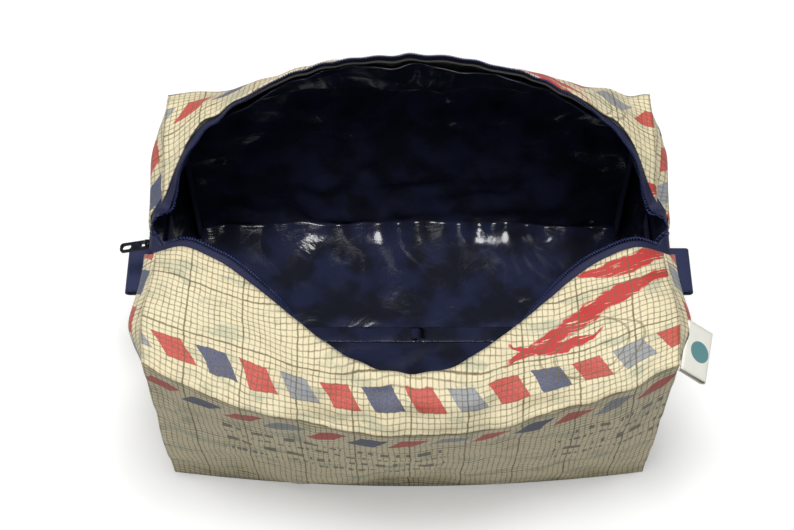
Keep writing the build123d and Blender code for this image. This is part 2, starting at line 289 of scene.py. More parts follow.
def roll_rim(main, side, overlap):
    """The turned edge laps over the tape; the front one rolls down into the mouth at its middle."""
    share = np.linspace(-1, 1, main.shape[1])
    out = main[0, :, 1:] - main[FLAP_ROWS, :, 1:]
    out /= np.linalg.norm(out, axis=1)[:, None]
    middle = (1 - share**2) ** 3 if side < 0 else 0 * share
    for r in range(ROLL_ROWS):
        weight = (1 - r / ROLL_ROWS) ** ROLL_FADE
        main[r, :, 1:] += out * ((overlap + LIP_REACH * middle) * weight)[:, None]
        main[r, :, 2] += ROLL_LIFT * weight - LIP_DROP * middle * weight**3
    return main


def panel_patches(side, depth, relief, overlap=0.0):
    """Main wall and both halves of the end walls of the front (-1) or the back (1) panel."""
    share = np.linspace(-1, 1, COLUMNS + 1)
    keys = key_curves(depth, share)
    rim, crease, foot = (keys[:, i] for i in ((0, 1, 2) if side < 0 else (5, 4, 3)))
    seam = np.stack([np.full(len(share), SEAM_Y), np.full(len(share), depth)], axis=1)
    turn = -side
    rows = []
    lengths = []
    runs = (
        (rim, crease, FLAP_ROWS, FLAP_BOW),
        (crease, foot, FACE_ROWS, FACE_BOW),
        (foot, seam, BASE_ROWS, 0.0),
    )
    run_lengths = [np.linalg.norm(b - a, axis=1) for a, b, _, _ in runs]
    for number, (a, b, count, bow) in enumerate(runs):
        for r in range(count + (number == 2)):
            f = np.full(len(share), r / count)
            rows.append(bowed_run(a, b, f, bow * turn))
            before = [-run_lengths[0], 0 * run_lengths[0], run_lengths[1]][number]
            lengths.append(before + f * run_lengths[number])
    yz = np.array(rows)
    ears = ear(yz[..., 0], yz[..., 1], side) * EAR_SHARE
    x = share * (HALF_WIDTH - depth) + np.sign(share) * ears * ease((np.abs(share) - 0.78) / 0.22)
    main = np.concatenate([x[..., None], yz], axis=2)
    if overlap:
        main = roll_rim(main, side, overlap)
        # the fold along the top edge is pinched into a fine ridge
        main[FLAP_ROWS, :, 1] += side * FOLD_RIDGE
        main[FLAP_ROWS, :, 2] += FOLD_RIDGE
    # map: across the bag, and up from the crease
    maps = np.stack([np.broadcast_to(share * HALF_WIDTH, yz.shape[:2]), -np.array(lengths)], axis=2)
    patches = [(relief(main, side), maps, np.ones(main.shape[:2], bool))]
    for end, column in ((-1, 0), (1, COLUMNS)):
        edge = main[:, column]
        top = edge[: FLAP_ROWS + 1][::-1]
        wall = edge[FLAP_ROWS : FLAP_ROWS + FACE_ROWS + 1][::-1]
        bottom = edge[FLAP_ROWS + FACE_ROWS :]
        points = np.zeros((FACE_ROWS + 1, BASE_ROWS + 1, 3))
        lower = np.linspace(bottom[0][2], END_SEAM_Z, SEAM_ROW + 1)
        upper = np.linspace(END_SEAM_Z, top[-1][2], FACE_ROWS - SEAM_ROW + 1)[1:]
        inner_z = np.concatenate([lower, upper])
        lean = ease((inner_z - LEAN_Z) / LEAN_RISE)
        slot = SLOT_HALF - overlap
        inner_y = SEAM_Y + side * (slot + ((top[-1][1] - SEAM_Y) * side - slot) * lean)
        for r in range(FACE_ROWS + 1):
            up = r / FACE_ROWS
            for c in range(BASE_ROWS + 1):
                across = min(c / FLAP_ROWS, 1)
                extra = max(c - FLAP_ROWS, 0) / SLOT_COLUMNS
                y = wall[r][1] + (inner_y[r] - wall[r][1]) * across
                z = wall[r][2] + (inner_z[r] - wall[r][2]) * across
                y += (SEAM_Y - y) * extra
                if c <= FLAP_ROWS:
                    line = top[0] + (top[-1] - top[0]) * across
                    y += (top[c][1] - line[1]) * up**6
                    z += (top[c][2] - line[2]) * up**6
                points[r, c] = (0, y, z)
        points[0] = bottom
        points[-1, : FLAP_ROWS + 1] = top
        points[:, 0] = wall
        depth_in = np.abs(points[..., 1] - wall[:, 1][:, None])
        sides = ease(depth_in / BULGE_FROM_CORNER) ** 0.7
        floors = ease((points[..., 2] - depth) / BULGE_FROM_BASE) ** 0.7
        ceiling = np.interp(points[..., 1] * side, sorted([top[0][1] * side, top[-1][1] * side]),
                            [top[-1][2], top[0][2]])
        tops = ease((ceiling - points[..., 2]) / BULGE_FROM_TOP) ** 0.6
        ears = ear(points[..., 1], points[..., 2], side)
        bulge = (END_X - HALF_WIDTH + (1 - EAR_SHARE) * ears) * sides * floors * tops
        points[..., 0] = end * (HALF_WIDTH - depth + bulge + EAR_SHARE * ears)
        points[0], points[-1, : FLAP_ROWS + 1], points[:, 0] = bottom, top, wall
        kept = np.ones(points.shape[:2], bool)
        kept[SEAM_ROW:, FLAP_ROWS:] = False
        across_map = end * (HALF_WIDTH + np.abs(points[..., 1] - wall[:, 1][:, None]))
        end_maps = np.stack([across_map, points[..., 2] - HEIGHT], axis=2)
        patches.append((relief(points, side), end_maps, kept))
    return patches


cloth_sag = ripples(11, 9, 50, 110)
cloth_creases = ripples(12, 10, 16, 36)
rim_puckers = ripples(13, 6, 7, 15)
lining_folds = ripples(21, 9, 38, 95)
lining_crinkles = ripples(22, 12, 14, 30)


def away_from_table(points):
    return ease(points[..., 2] / 12)


def relief_height(points, side, rows):
    """Height of the cloth's dents and creases; rows counts the quads down from the rim."""
    x, y, z = (points[..., i] for i in range(3))
    height = SAG * cloth_sag(x, y + z) + CREASE * cloth_creases(x + 0.3 * z, y * 1.3 + z)
    middle = np.exp(-((x / PUCKER_REACH) ** 2)) if side < 0 else BACK_PUCKER
    puckers = PUCKER * rim_puckers(x, 0.0) * np.exp(-rows / 5.0) * middle
    return height * (0.4 + 0.6 * ease(rows / 8)) + puckers


def cloth_relief(points, side, at_rim=False):
    """Soft dents and creases of the outer cloth, none at the table."""
    is_wall = points.shape[0] > FACE_ROWS + 1
    rows = np.arange(points.shape[0])[:, None] if is_wall else np.full((1, 1), 0.0 if at_rim else 99.0)
    height = relief_height(points, side, rows) * away_from_table(points)
    # the two panels stay together along their seam
    height *= 1 - np.exp(-(((points[..., 1] - SEAM_Y) / SEAM_HOLD) ** 2))
    moved = points.copy()
    moved[..., 1] += side * height * 0.8
    moved[..., 2] += height * ease((points[..., 2] - 90) / 20) * 0.6
    return moved


def lining_relief(points, side):
    """Stiff glossy folds of the lining, inwards from its wall."""
    moved = cloth_relief(points, side)
    x, y, z = (points[..., i] for i in range(3))
    shape = LINING_FOLD * np.abs(lining_folds(x, y + z)) + LINING_CRINKLE * lining_crinkles(x, y - z)
    beside_seam = 1 - np.exp(-(((y - SEAM_Y) / LINING_SEAM_HOLD) ** 2))
    inward = np.clip(shape * beside_seam + LINING_OFF, 0.2, 5.0)
    floor = 1 - ease(z / 14)
    # the corner along the base is a soft wandering fold
    near = np.exp(-(((HALF_DEPTH - side * y) / CORNER_RADIUS) ** 2) - (z / CORNER_RADIUS) ** 2)
    corner = np.clip(near * (CORNER_FOLD + CORNER_WANDER * lining_crinkles(x, 0.0 * y)), 0, 6)
    moved[..., 2] += inward * floor + corner * floor
    moved[..., 1] -= side * (inward * (1 - floor) + corner * 0.7)
    return moved


INSIDE = Vector((0, 0, 60 * MM))


def panel(name, side, depth, relief, thickness, node, overlap=0.0):
    obj = patches_object(name, panel_patches(side, depth, relief, overlap))
    point_outwards(obj, INSIDE)
    thicken(obj, thickness)
    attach(obj, "bag")
    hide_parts(node)
    return obj


# ---------------------------------------------------------------- zip
def rim_place(side, share):
    """Where a tape meets its cloth edge in the mouth, and the way it leaves it."""
    points = inset_points(key_points(share), OUTER_CLOTH / 2)
    rim, crease = (points[0], points[1]) if side < 0 else (points[5], points[4])
    out = np.array([0, *(rim - crease)])
    out /= np.linalg.norm(out)
    hang = (1 - share * share) ** 3 if side < 0 else 0
    place = np.array([share * HALF_WIDTH, *rim]) + out * (0.3 + 2.5 * hang)
    return place, out * (1 - hang) + np.array([0, 0, -1.0]) * hang


def zip_line(side):
    """Cloth edge, unit way across and unit normal of a tape, at every coil loop."""
    left = [(np.array([-ZIP_X, SEAM_Y + side * SLOT_HALF, z]), np.array([0, -side, 0.0]))
            for z in ZIP_STATIONS]
    right = [(place * (-1, 1, 1), way) for place, way in left[::-1]]
    places = left + [rim_place(side, s) for s in STATIONS] + right
    points = np.array([p for p, _ in places])
    ways = np.array([w for _, w in places])
    knots = np.concatenate([[0], np.cumsum(np.linalg.norm(np.diff(points, axis=0), axis=1))])
    at = np.linspace(0, knots[-1], int(knots[-1] / COIL_PITCH) + 1)
    line = spline(knots, points, at)
    way = spline(knots, ways, at)
    along = np.gradient(line, axis=0)
    along /= np.linalg.norm(along, axis=1)[:, None]
    way -= along * (way * along).sum(axis=1)[:, None]
    way /= np.linalg.norm(way, axis=1)[:, None]
    normal = np.cross(along, way)
    # in the mouth the zip follows its cloth edge and lies under it
    in_mouth = ease((HALF_WIDTH - np.abs(line[:, 0])) / 14)[:, None]
    follow = cloth_relief(line[None], side, at_rim=True)[0] - line
    line = line + in_mouth * (follow + side * normal * TAPE_UNDER)
    if side < 0:
        line[:, 2] -= LIP_COVER * np.clip(1 - (line[:, 0] / HALF_WIDTH) ** 2, 0, 1) ** 2
    return line, way, normal, at


def make_tape(side, name, node):
    line, way, _, at = zip_line(side)
    reaches = np.linspace(-0.6, TAPE_WIDTH + EDGE_GAP, 8)
    points = np.array([[p + w * r for r in reaches] for p, w in zip(line, way)])
    maps = np.array([[(s, r) for r in reaches] for s in at])
    obj = patches_object(name, [(points, maps, np.ones(points.shape[:2], bool))])
    thicken(obj, TAPE_THICKNESS, 0.0)
    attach(obj, "bag")
    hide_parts(node)
    return obj


def tube(build, centres, radius, sides=5):
    """Closed tube through the centres, added to the mesh being built."""
    centres = np.asarray(centres)
    ways = np.gradient(centres, axis=0)
    ways /= np.linalg.norm(ways, axis=1)[:, None]
    guide = np.array([0.31, 0.87, 0.38])
    first = np.cross(ways, guide)
    first /= np.linalg.norm(first, axis=1)[:, None]
    second = np.cross(ways, first)
    rings = []
    for p, a, b in zip(centres, first, second):
        ring = []
        for k in range(sides):
            t = 2 * math.pi * k / sides
            ring.append(build.verts.new((p + (a * math.cos(t) + b * math.sin(t)) * radius) * MM))
        rings.append(ring)
    for low, high in zip(rings, rings[1:]):
        for k in range(sides):
            n = (k + 1) % sides
            build.faces.new([low[k], low[n], high[n], high[k]]).smooth = True
    build.faces.new(rings[0][::-1])
    build.faces.new(rings[-1])


def make_coil(side, name, node):
    line, way, normal, _ = zip_line(side)
    steps = 9
    centre = EDGE_GAP + COIL_NEAR + COIL_WIDTH / 2
    wide, high = COIL_WIDTH / 2 - COIL_WIRE, COIL_HEIGHT / 2 - COIL_WIRE
    centres = []
    for i in range(len(line) - 1):
        for k in range(steps):
            f = k / steps
            t = 2 * math.pi * f
            p = line[i] * (1 - f) + line[i + 1] * f
            centres.append(p + way[i] * (centre + wide * math.cos(t)) + normal[i] * high * math.sin(t))
    build = bmesh.new()
    tube(build, centres, COIL_WIRE)
    bmesh.ops.recalc_face_normals(build, faces=build.faces)
    mesh = bpy.data.meshes.new(name)
    build.to_mesh(mesh)
    build.free()
    obj = new_object(name, mesh)
    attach(obj, "bag")
    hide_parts(node)
    return obj


# ---------------------------------------------------------------- folded ribbons and bindings
def folded_ribbon(name, node, root, toward, along, reach, width, cloth, fold_gap, flare):
    """Ribbon folded on itself: out from the root, round the fold and back."""
    toward, along = np.array(toward, float), np.array(along, float)
    up = np.cross(toward, along)
    radius = (fold_gap + cloth) / 2
    straight = reach - radius - cloth / 2
    profile = [(straight * f, radius * (1 - flare * (1 - f))) for f in np.linspace(0, 1, 9)]
    for t in np.linspace(0, math.pi, 15)[1:-1]:
        profile.append((straight + radius * math.sin(t), radius * math.cos(t)))
    profile += [(d, -h) for d, h in profile[:9][::-1]]
    across = np.linspace(-0.5, 0.5, 17)
    points = np.array([[np.array(root) + toward * d + up * h + along * a * width for a in across]
                       for d, h in profile])
    lengths = np.concatenate([[0], np.cumsum([math.dist(a, b) for a, b in zip(profile, profile[1:])])])
    maps = np.array([[(s, a * width) for a in across] for s in lengths])
    obj = patches_object(name, [(points, maps, np.ones(points.shape[:2], bool))])
    thicken(obj, cloth, 0.0)
    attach(obj, "bag")
    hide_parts(node)
    return obj


def bound_strip(name, node):
    """Folded tape over a seam allowance: a long bar with a soft, rounded section."""
    low, high = (np.array(c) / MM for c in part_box(node))
    size = high - low
    long_way = int(np.argmax(size))
    thin_way = int(np.argmin(size))
    wide_way = 3 - long_way - thin_way
    centre = (low + high) / 2
    wobble = ripples(31 + sum(map(ord, node)) % 97, 5, 9, 40)
    flat = node == "base_seam_binding"
    rings = 60
    sides = 16
    points = np.zeros((rings + 1, sides + 1, 3))
    maps = np.zeros((rings + 1, sides + 1, 2))
    for i in range(rings + 1):
        f = i / rings - 0.5
        for k in range(sides + 1):
            t = 2 * math.pi * k / sides
            c, s = math.cos(t), math.sin(t)
            p = centre.copy()
            p[long_way] += f * size[long_way]
            p[wide_way] += 0.5 * size[wide_way] * math.copysign(abs(c) ** (1.0 if flat else 0.35), c)
            fullness = 0.2 if flat else 0.72
            swell = 0.5 * size[thin_way] * (fullness + 0.12 * wobble(f * size[long_way], 3.0 * c))
            p[thin_way] += swell * math.copysign(abs(s) ** (1.6 if flat else 0.5), s)
            points[i, k] = p
            maps[i, k] = (f * size[long_way], k * 1.3)
    obj = patches_object(name, [(points, maps, np.ones(points.shape[:2], bool))])
    build = bmesh.new()
    build.from_mesh(obj.data)
    bmesh.ops.holes_fill(build, edges=[e for e in build.edges if e.is_boundary], sides=0)
    bmesh.ops.recalc_face_normals(build, faces=build.faces)
    build.to_mesh(obj.data)
    build.free()
    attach(obj, "bag")
    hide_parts(node)
    return obj


# ---------------------------------------------------------------- materials
class Shader:
    """Short forms for the nodes of one material."""

    def __init__(self, name):
        self.material = bpy.data.materials.new(name)
        self.material.use_nodes = True
        self.tree = self.material.node_tree
        self.bsdf = self.tree.nodes["Principled BSDF"]

    def node(self, kind, **settings):
        made = self.tree.nodes.new(kind)
        for key, value in settings.items():
            setattr(made, key, value)
        return made

    def feed(self, socket, value):
        if isinstance(value, bpy.types.NodeSocket):
            self.tree.links.new(value, socket)
        elif value is not None:
            socket.default_value = value

    def math(self, operation, a, b=None, c=None, clamp=False):
        made = self.node("ShaderNodeMath", operation=operation, use_clamp=clamp)
        for socket, value in zip(made.inputs, (a, b, c)):
            self.feed(socket, value)
        return made.outputs[0]

    def mix(self, factor, a, b):
        made = self.node("ShaderNodeMix", data_type="RGBA")
        for name, value in ((0, factor), (6, a), (7, b)):
            self.feed(made.inputs[name], value)
        return made.outputs[2]

    def band(self, value, start, end):
        """1 below start, falling to 0 at end."""
        made = self.node("ShaderNodeMapRange", interpolation_type="SMOOTHSTEP")
        self.feed(made.inputs[0], value)
        for socket, number in zip(made.inputs[1:5], (start, end, 1.0, 0.0)):
            socket.default_value = number
        return made.outputs[0]

    def noise(self, vector, scale, detail=3.0, rough=0.5, distortion=0.0):
        made = self.node("ShaderNodeTexNoise")
        self.feed(made.inputs["Vector"], vector)
        made.inputs["Scale"].default_value = scale
        made.inputs["Detail"].default_value = detail
        made.inputs["Roughness"].default_value = rough
        made.inputs["Distortion"].default_value = distortion
        return made.outputs[0]

    def stretched(self, vector, x, y, z=1.0):
        made = self.node("ShaderNodeMapping")
        self.feed(made.inputs["Vector"], vector)
        made.inputs["Scale"].default_value = (x, y, z)
        return made.outputs[0]

    def cloth_map(self):
        made = self.node("ShaderNodeUVMap", uv_map="cloth")
        apart = self.node("ShaderNodeSeparateXYZ")
        self.feed(apart.inputs[0], made.outputs[0])
        return made.outputs[0], apart.outputs[0], apart.outputs[1]

    def place(self):
        return self.node("ShaderNodeTexCoord").outputs["Object"]

    def weave(self, u, v, threads):
        across = self.math("SINE", self.math("MULTIPLY", u, threads))
        return self.math("MULTIPLY", across, self.math("SINE", self.math("MULTIPLY", v, threads)))

    def bump(self, height, strength, distance):
        made = self.node("ShaderNodeBump")
        self.feed(made.inputs["Height"], height)
        made.inputs["Strength"].default_value = strength
        made.inputs["Distance"].default_value = distance
        self.feed(self.bsdf.inputs["Normal"], made.outputs[0])


def ink(r, g, b):
    """Linear colour from 0-255 screen values."""
    shares = (c / 255 for c in (r, g, b))
    return tuple(((f + 0.055) / 1.055) ** 2.4 if f > 0.04 else f / 12.92 for f in shares) + (1.0,)


CREAM = ink(236, 224, 188)
OLIVE = ink(108, 94, 62)
RED = ink(206, 52, 58)
BLUE = ink(44, 66, 116)
GREY = ink(148, 154, 164)
SAGE = ink(176, 184, 160)
DARK = ink(52, 54, 60)
CLOTH_THREADS = 340.0  # turns of the weave's waves, in radians an inch
LABEL_THREADS = 420.0


def printed_cloth():
    s = Shader("printed_cloth")
    vector, flat_u, flat_v = s.cloth_map()
    # the print wanders a little, as it does on real cloth
    drift = s.math("MULTIPLY", s.math("SUBTRACT", s.noise(vector, 0.9, 2), 0.5), 0.16)
    shake = s.math("MULTIPLY", s.math("SUBTRACT", s.noise(vector, 9.0, 2), 0.5), 0.035)
    u = s.math("ADD", flat_u, s.math("ADD", drift, shake))
    v = s.math("ADD", flat_v, s.math("SUBTRACT", drift, shake))
    wash = s.noise(s.stretched(vector, 1.0, 2.2), 1.3, 4, 0.6)
    colour = s.mix(s.math("MULTIPLY", s.band(wash, 0.62, 0.52), 0.6), CREAM, SAGE)
    stain = s.noise(vector, 0.6, 2)
    colour = s.mix(s.math("MULTIPLY", s.band(stain, 0.55, 0.35), 0.25), colour, ink(226, 210, 168))

    def motif_row(colour, row_v, height, pitch, slant, start):
        """A row of slanted patches, red with every second one grey or blue."""
        local = s.math("SUBTRACT", v, row_v)
        lean = s.math("ADD", u, s.math("MULTIPLY", local, slant))
        cell = s.math("DIVIDE", s.math("ADD", lean, start), pitch)
        number = s.math("FLOOR", cell)
        place = s.math("ABSOLUTE", s.math("SUBTRACT", s.math("SUBTRACT", cell, number), 0.5))
        rough = s.math("MULTIPLY", s.math("SUBTRACT", s.noise(vector, 14), 0.5), 0.05)
        wide = s.band(s.math("ADD", place, rough), 0.335, 0.35)
        tall = s.band(s.math("ADD", s.math("ABSOLUTE", local), rough), height, height + 0.02)
        which = s.math("FLOORED_MODULO", number, 4.0)
        tint = s.mix(s.math("COMPARE", which, 1.0, 0.2), RED, GREY)
        tint = s.mix(s.math("COMPARE", which, 3.0, 0.2), tint, BLUE)
        worn = s.math("ADD", s.math("MULTIPLY", s.noise(vector, 30, 4), 0.35), 0.72, clamp=True)
        mask = s.math("MULTIPLY", s.math("MULTIPLY", wide, tall), worn)
        return s.mix(mask, colour, tint)

    colour = motif_row(colour, 0.60, 0.20, 0.74, 0.6, 0.1)
    colour = motif_row(colour, -0.45, 0.16, 0.74, -0.8, 0.4)

    def brush(colour, centre_u, centre_v, lean, bend, half_length, width):
        """A dry red stroke about a bent line."""
        along = s.math("SUBTRACT", u, centre_u)
        middle = s.math("ADD", s.math("MULTIPLY", along, lean),
                        s.math("MULTIPLY", s.math("MULTIPLY", along, along), bend))
        off = s.math("SUBTRACT", s.math("SUBTRACT", v, centre_v), middle)
        ragged = s.math("MULTIPLY", s.math("SUBTRACT", s.noise(vector, 3.5, 3), 0.5), 0.22)
        # the stroke narrows towards both of its ends
        share = s.math("MULTIPLY", along, 1 / half_length)
        slim = s.math("MULTIPLY", s.math("POWER", share, 2.0), -0.92)
        slim = s.math("MAXIMUM", s.math("ADD", slim, 1.0), 0.04)
        far_off = s.math("DIVIDE", s.math("ABSOLUTE", s.math("ADD", off, ragged)), slim)
        body = s.band(far_off, width * 0.9, width * 1.15)
        ends = s.band(s.math("ABSOLUTE", s.math("ADD", along, ragged)), half_length * 0.9, half_length)
        streaks = s.noise(s.stretched(vector, 2.0, 26.0), 1.0, 3)
        dry = s.band(streaks, 0.60, 0.66)
        return s.mix(s.math("MULTIPLY", s.math("MULTIPLY", body, ends), dry), colour, RED)

    colour = brush(colour, 3.3, 1.65, 0.32, -0.05, 1.7, 0.20)
    colour = brush(colour, 4.1, 2.35, 0.10, 0.12, 1.1, 0.16)
    colour = brush(colour, 2.6, 1.15, -0.05, 0.20, 0.9, 0.09)

    # a pair of olive rings
    for cu, cv, radius in ((3.1, 1.0, 0.8), (3.35, 0.9, 0.8)):
        across = s.math("POWER", s.math("SUBTRACT", u, cu), 2.0)
        upward = s.math("POWER", s.math("MULTIPLY", s.math("SUBTRACT", v, cv), 1.6), 2.0)
        ring = s.math("SUBTRACT", s.math("SQRT", s.math("ADD", across, upward)), radius)
        mask = s.band(s.math("ABSOLUTE", ring), 0.015, 0.03)
        colour = s.mix(s.math("MULTIPLY", mask, 0.5), colour, OLIVE)

    # ruled rows of short dashes on the lower face
    dash_rows = ((-1.15, 2.6, 0.07), (-1.5, 4.3, 0.04), (-1.95, 2.2, 0.09), (-2.4, 5.2, 0.05))
    for row, scale, tall in dash_rows:
        dashes = s.noise(s.stretched(vector, scale, 0.001), 2.0, 1)
        on = s.math("GREATER_THAN", dashes, 0.5)
        near = s.band(s.math("ABSOLUTE", s.math("SUBTRACT", v, row)), tall, tall + 0.015)
        side = s.math("GREATER_THAN", s.noise(s.stretched(vector, 0.35, 0.001), 1.0, 0), 0.47)
        mask = s.math("MULTIPLY", s.math("MULTIPLY", on, near), side)
        colour = s.mix(s.math("MULTIPLY", mask, 0.75), colour, DARK)

    # painted shadow: a patchy darker olive band is painted just below the ridge of the pressed fold along
    # the top edge, standing in for the shade under the fold
    fold = s.band(s.math("ABSOLUTE", s.math("ADD", flat_v, 0.07)), 0.015, 0.05)
    mark_weight = s.math("MULTIPLY", s.noise(vector, 2.0, 2), 0.9)
    colour = s.mix(s.math("MULTIPLY", fold, mark_weight), colour, OLIVE)

    # graph grid
    uneven = s.math("ADD", s.math("MULTIPLY", s.noise(vector, 5, 3), 0.9), 0.08)
    for axis in (u, v):
        fine = s.band(s.math("PINGPONG", s.math("MULTIPLY", axis, 10.0), 0.5), 0.05, 0.16)
        colour = s.mix(s.math("MULTIPLY", fine, uneven), colour, OLIVE)
        heavy = s.band(s.math("PINGPONG", axis, 0.5), 0.008, 0.022)
        colour = s.mix(s.math("MULTIPLY", heavy, s.math("ADD", uneven, 0.15)), colour, OLIVE)

    s.feed(s.bsdf.inputs["Base Color"], colour)
    threads = s.weave(u, v, CLOTH_THREADS)
    slubs = s.noise(s.stretched(vector, 60, 8), 1.0, 2)
    height = s.math("ADD", s.math("MULTIPLY", threads, 0.3), slubs)
    s.bump(height, 0.35, 0.0003)
    rough = s.math("ADD", s.math("MULTIPLY", slubs, 0.25), 0.42)
    s.feed(s.bsdf.inputs["Roughness"], rough)
    s.bsdf.inputs["Specular IOR Level"].default_value = 0.35
    s.bsdf.inputs["Sheen Weight"].default_value = 0.08
    return s.material


def glossy_lining():
    s = Shader("lining")
    vector, _, _ = s.cloth_map()
    tone = s.noise(vector, 1.2, 4)
    s.feed(s.bsdf.inputs["Base Color"], s.mix(s.band(tone, 0.6, 0.4), ink(29, 31, 42), ink(38, 42, 66)))
    crinkle = s.noise(vector, 1.1, 3, 0.45, 1.2)
    fine = s.noise(vector, 6.0, 3, 0.5, 0.4)
    height = s.math("ADD", crinkle, s.math("MULTIPLY", fine, 0.05))
    s.bump(height, 0.22, 0.004)
    s.feed(s.bsdf.inputs["Roughness"], s.math("ADD", s.math("MULTIPLY", fine, 0.10), 0.12))
    s.bsdf.inputs["Specular IOR Level"].default_value = 0.3
    s.bsdf.inputs["Coat Weight"].default_value = 0.15
    s.bsdf.inputs["Coat Roughness"].default_value = 0.05
    return s.material


def woven(name, base, light, ribs_u, ribs_v, rough, strength):
    """Woven narrow fabric: ribs along each way of its map, with lighter thread tops as painted highlight
    and darker hollows between threads as painted shade; the fibre streaks add the yarn's own tone.
    """
    s = Shader(name)
    vector, u, v = s.cloth_map()
    a = s.math("SINE", s.math("MULTIPLY", u, ribs_u))
    b = s.math("SINE", s.math("ADD", s.math("MULTIPLY", v, ribs_v), s.math("MULTIPLY", u, ribs_u * 0.5)))
    fibre = s.noise(s.stretched(vector, 40, 160), 1.0, 3)
    height = s.math("ADD", s.math("MULTIPLY", s.math("MULTIPLY", a, b), 0.35),
                    s.math("MULTIPLY", fibre, 0.5))
    # painted highlight and shade: the colour follows the weave's height, lighter on the thread tops and
    # darker in the hollows, mixed with the yarn's own fibre tone
    s.feed(s.bsdf.inputs["Base Color"], s.mix(s.math("ADD", height, 0.2, clamp=True), base, light))
    s.bump(height, strength, 0.0004)
    s.feed(s.bsdf.inputs["Roughness"], s.math("ADD", s.math("MULTIPLY", fibre, 0.2), rough))
    s.bsdf.inputs["Sheen Weight"].default_value = 0.04
    return s.material


def felt():
    s = Shader("interlining")
    place = s.place()
    fibres = s.noise(place, 900, 5, 0.7, 1.0)
    s.feed(s.bsdf.inputs["Base Color"], s.mix(fibres, ink(190, 188, 180), ink(224, 222, 214)))
    s.bump(fibres, 0.6, 0.0006)
    s.feed(s.bsdf.inputs["Roughness"], s.math("ADD", s.math("MULTIPLY", fibres, 0.1), 0.85))
    return s.material


def coil_plastic():
    s = Shader("zip_coil")
    place = s.place()
    tone = s.noise(place, 700, 3)
    s.feed(s.bsdf.inputs["Base Color"], s.mix(tone, ink(20, 26, 62), ink(40, 52, 104)))
    s.feed(s.bsdf.inputs["Roughness"], s.math("ADD", s.math("MULTIPLY", tone, 0.15), 0.30))
    s.bump(tone, 0.2, 0.0002)
    return s.material


def enamel():
    s = Shader("zip_metal")
    place = s.place()
    wear = s.noise(place, 420, 4)
    edge = s.node("ShaderNodeNewGeometry").outputs["Pointiness"]
    mark_weight = s.math("SUBTRACT", 1.0, s.band(edge, 0.58, 0.5))
    worn = s.math("MULTIPLY", mark_weight, s.band(wear, 0.6, 0.45))
    colour = s.mix(s.math("MULTIPLY", worn, 0.35), ink(20, 22, 34), ink(120, 122, 130))
    s.feed(s.bsdf.inputs["Base Color"], colour)
    s.feed(s.bsdf.inputs["Roughness"], s.math("ADD", s.math("MULTIPLY", wear, 0.2), 0.22))
    s.bsdf.inputs["Metallic"].default_value = 0.55
    s.bump(wear, 0.12, 0.0002)
    return s.material


def label_ribbon():
    s = Shader("label_ribbon")
    vector, u, v = s.cloth_map()
    weave = s.weave(u, v, LABEL_THREADS)
    tone = s.noise(vector, 3.0, 3)
    colour = s.mix(tone, ink(238, 236, 222), ink(250, 249, 240))
    # a plain woven dot
    along = s.math("SUBTRACT", s.math("PINGPONG", u, 0.62), 0.36)
    spot = s.math("SQRT", s.math("ADD", s.math("POWER", along, 2.0), s.math("POWER", v, 2.0)))
    colour = s.mix(s.math("MULTIPLY", s.band(spot, 0.20, 0.215), 0.9), colour, ink(44, 128, 136))
    s.feed(s.bsdf.inputs["Base Color"], colour)
    s.bump(s.math("ADD", weave, tone), 0.25, 0.0002)
    s.feed(s.bsdf.inputs["Roughness"], s.math("ADD", s.math("MULTIPLY", tone, 0.15), 0.45))
    s.bsdf.inputs["Sheen Weight"].default_value = 0.2
    return s.material


NAVY = ink(8, 14, 46)
NAVY_LIGHT = ink(18, 27, 72)
cloth_material = printed_cloth()
lining_material = glossy_lining()
felt_material = felt()
tape_material = woven("zip_tape", NAVY, NAVY_LIGHT, 130.0, 130.0, 0.55, 0.5)
webbing_material = woven("webbing", ink(20, 26, 58), ink(40, 50, 98), 45.0, 150.0, 0.6, 0.9)
binding_material = woven("binding", ink(18, 24, 58), ink(34, 44, 92), 150.0, 150.0, 0.7, 0.5)
coil_material = coil_plastic()
metal_material = enamel()
label_material = label_ribbon()


def finish_with(obj, material):
    obj.data.materials.clear()
    obj.data.materials.append(material)


# ---------------------------------------------------------------- pieces
for side, word in ((-1, "front"), (1, "back")):
    outer = panel(f"{word}_cloth", side, 0.0, cloth_relief, OUTER_CLOTH, f"outer_{word}_panel",
                  TURNED_EDGE)
    finish_with(outer, cloth_material)
    middle = panel(f"{word}_felt", side, FELT_DEPTH, cloth_relief, FELT_CLOTH, f"{word}_interlining")
    finish_with(middle, felt_material)
    inner = panel(f"{word}_lining", side, LINING_DEPTH, lining_relief, LINING_CLOTH, f"lining_{word}_panel")
    finish_with(inner, lining_material)
    finish_with(make_tape(side, f"{word}_tape", f"zip_tape_{word}"), tape_material)
    finish_with(make_coil(side, f"{word}_coil", f"zip_coil_{word}"), coil_material)

CLEARANCE = 0.3  # between a tab or the label and the cloth beside it
TAB_REACH, TAB_WIDTH, TAB_CLOTH, TAB_FOLD_GAP = 14.0, 25.0, 1.4, 1.6
TAB_Z = END_SEAM_Z - CLEARANCE - TAB_CLOTH - TAB_FOLD_GAP / 2
for end, word in ((-1, "left"), (1, "right")):
    root = (end * (END_X + CLEARANCE), SEAM_Y, TAB_Z)
    tab = folded_ribbon(f"{word}_tab", f"{word}_end_tab", root, (end, 0, 0), (0, 1, 0),
                        TAB_REACH, TAB_WIDTH, TAB_CLOTH, TAB_FOLD_GAP, 0.0)
    finish_with(tab, webbing_material)

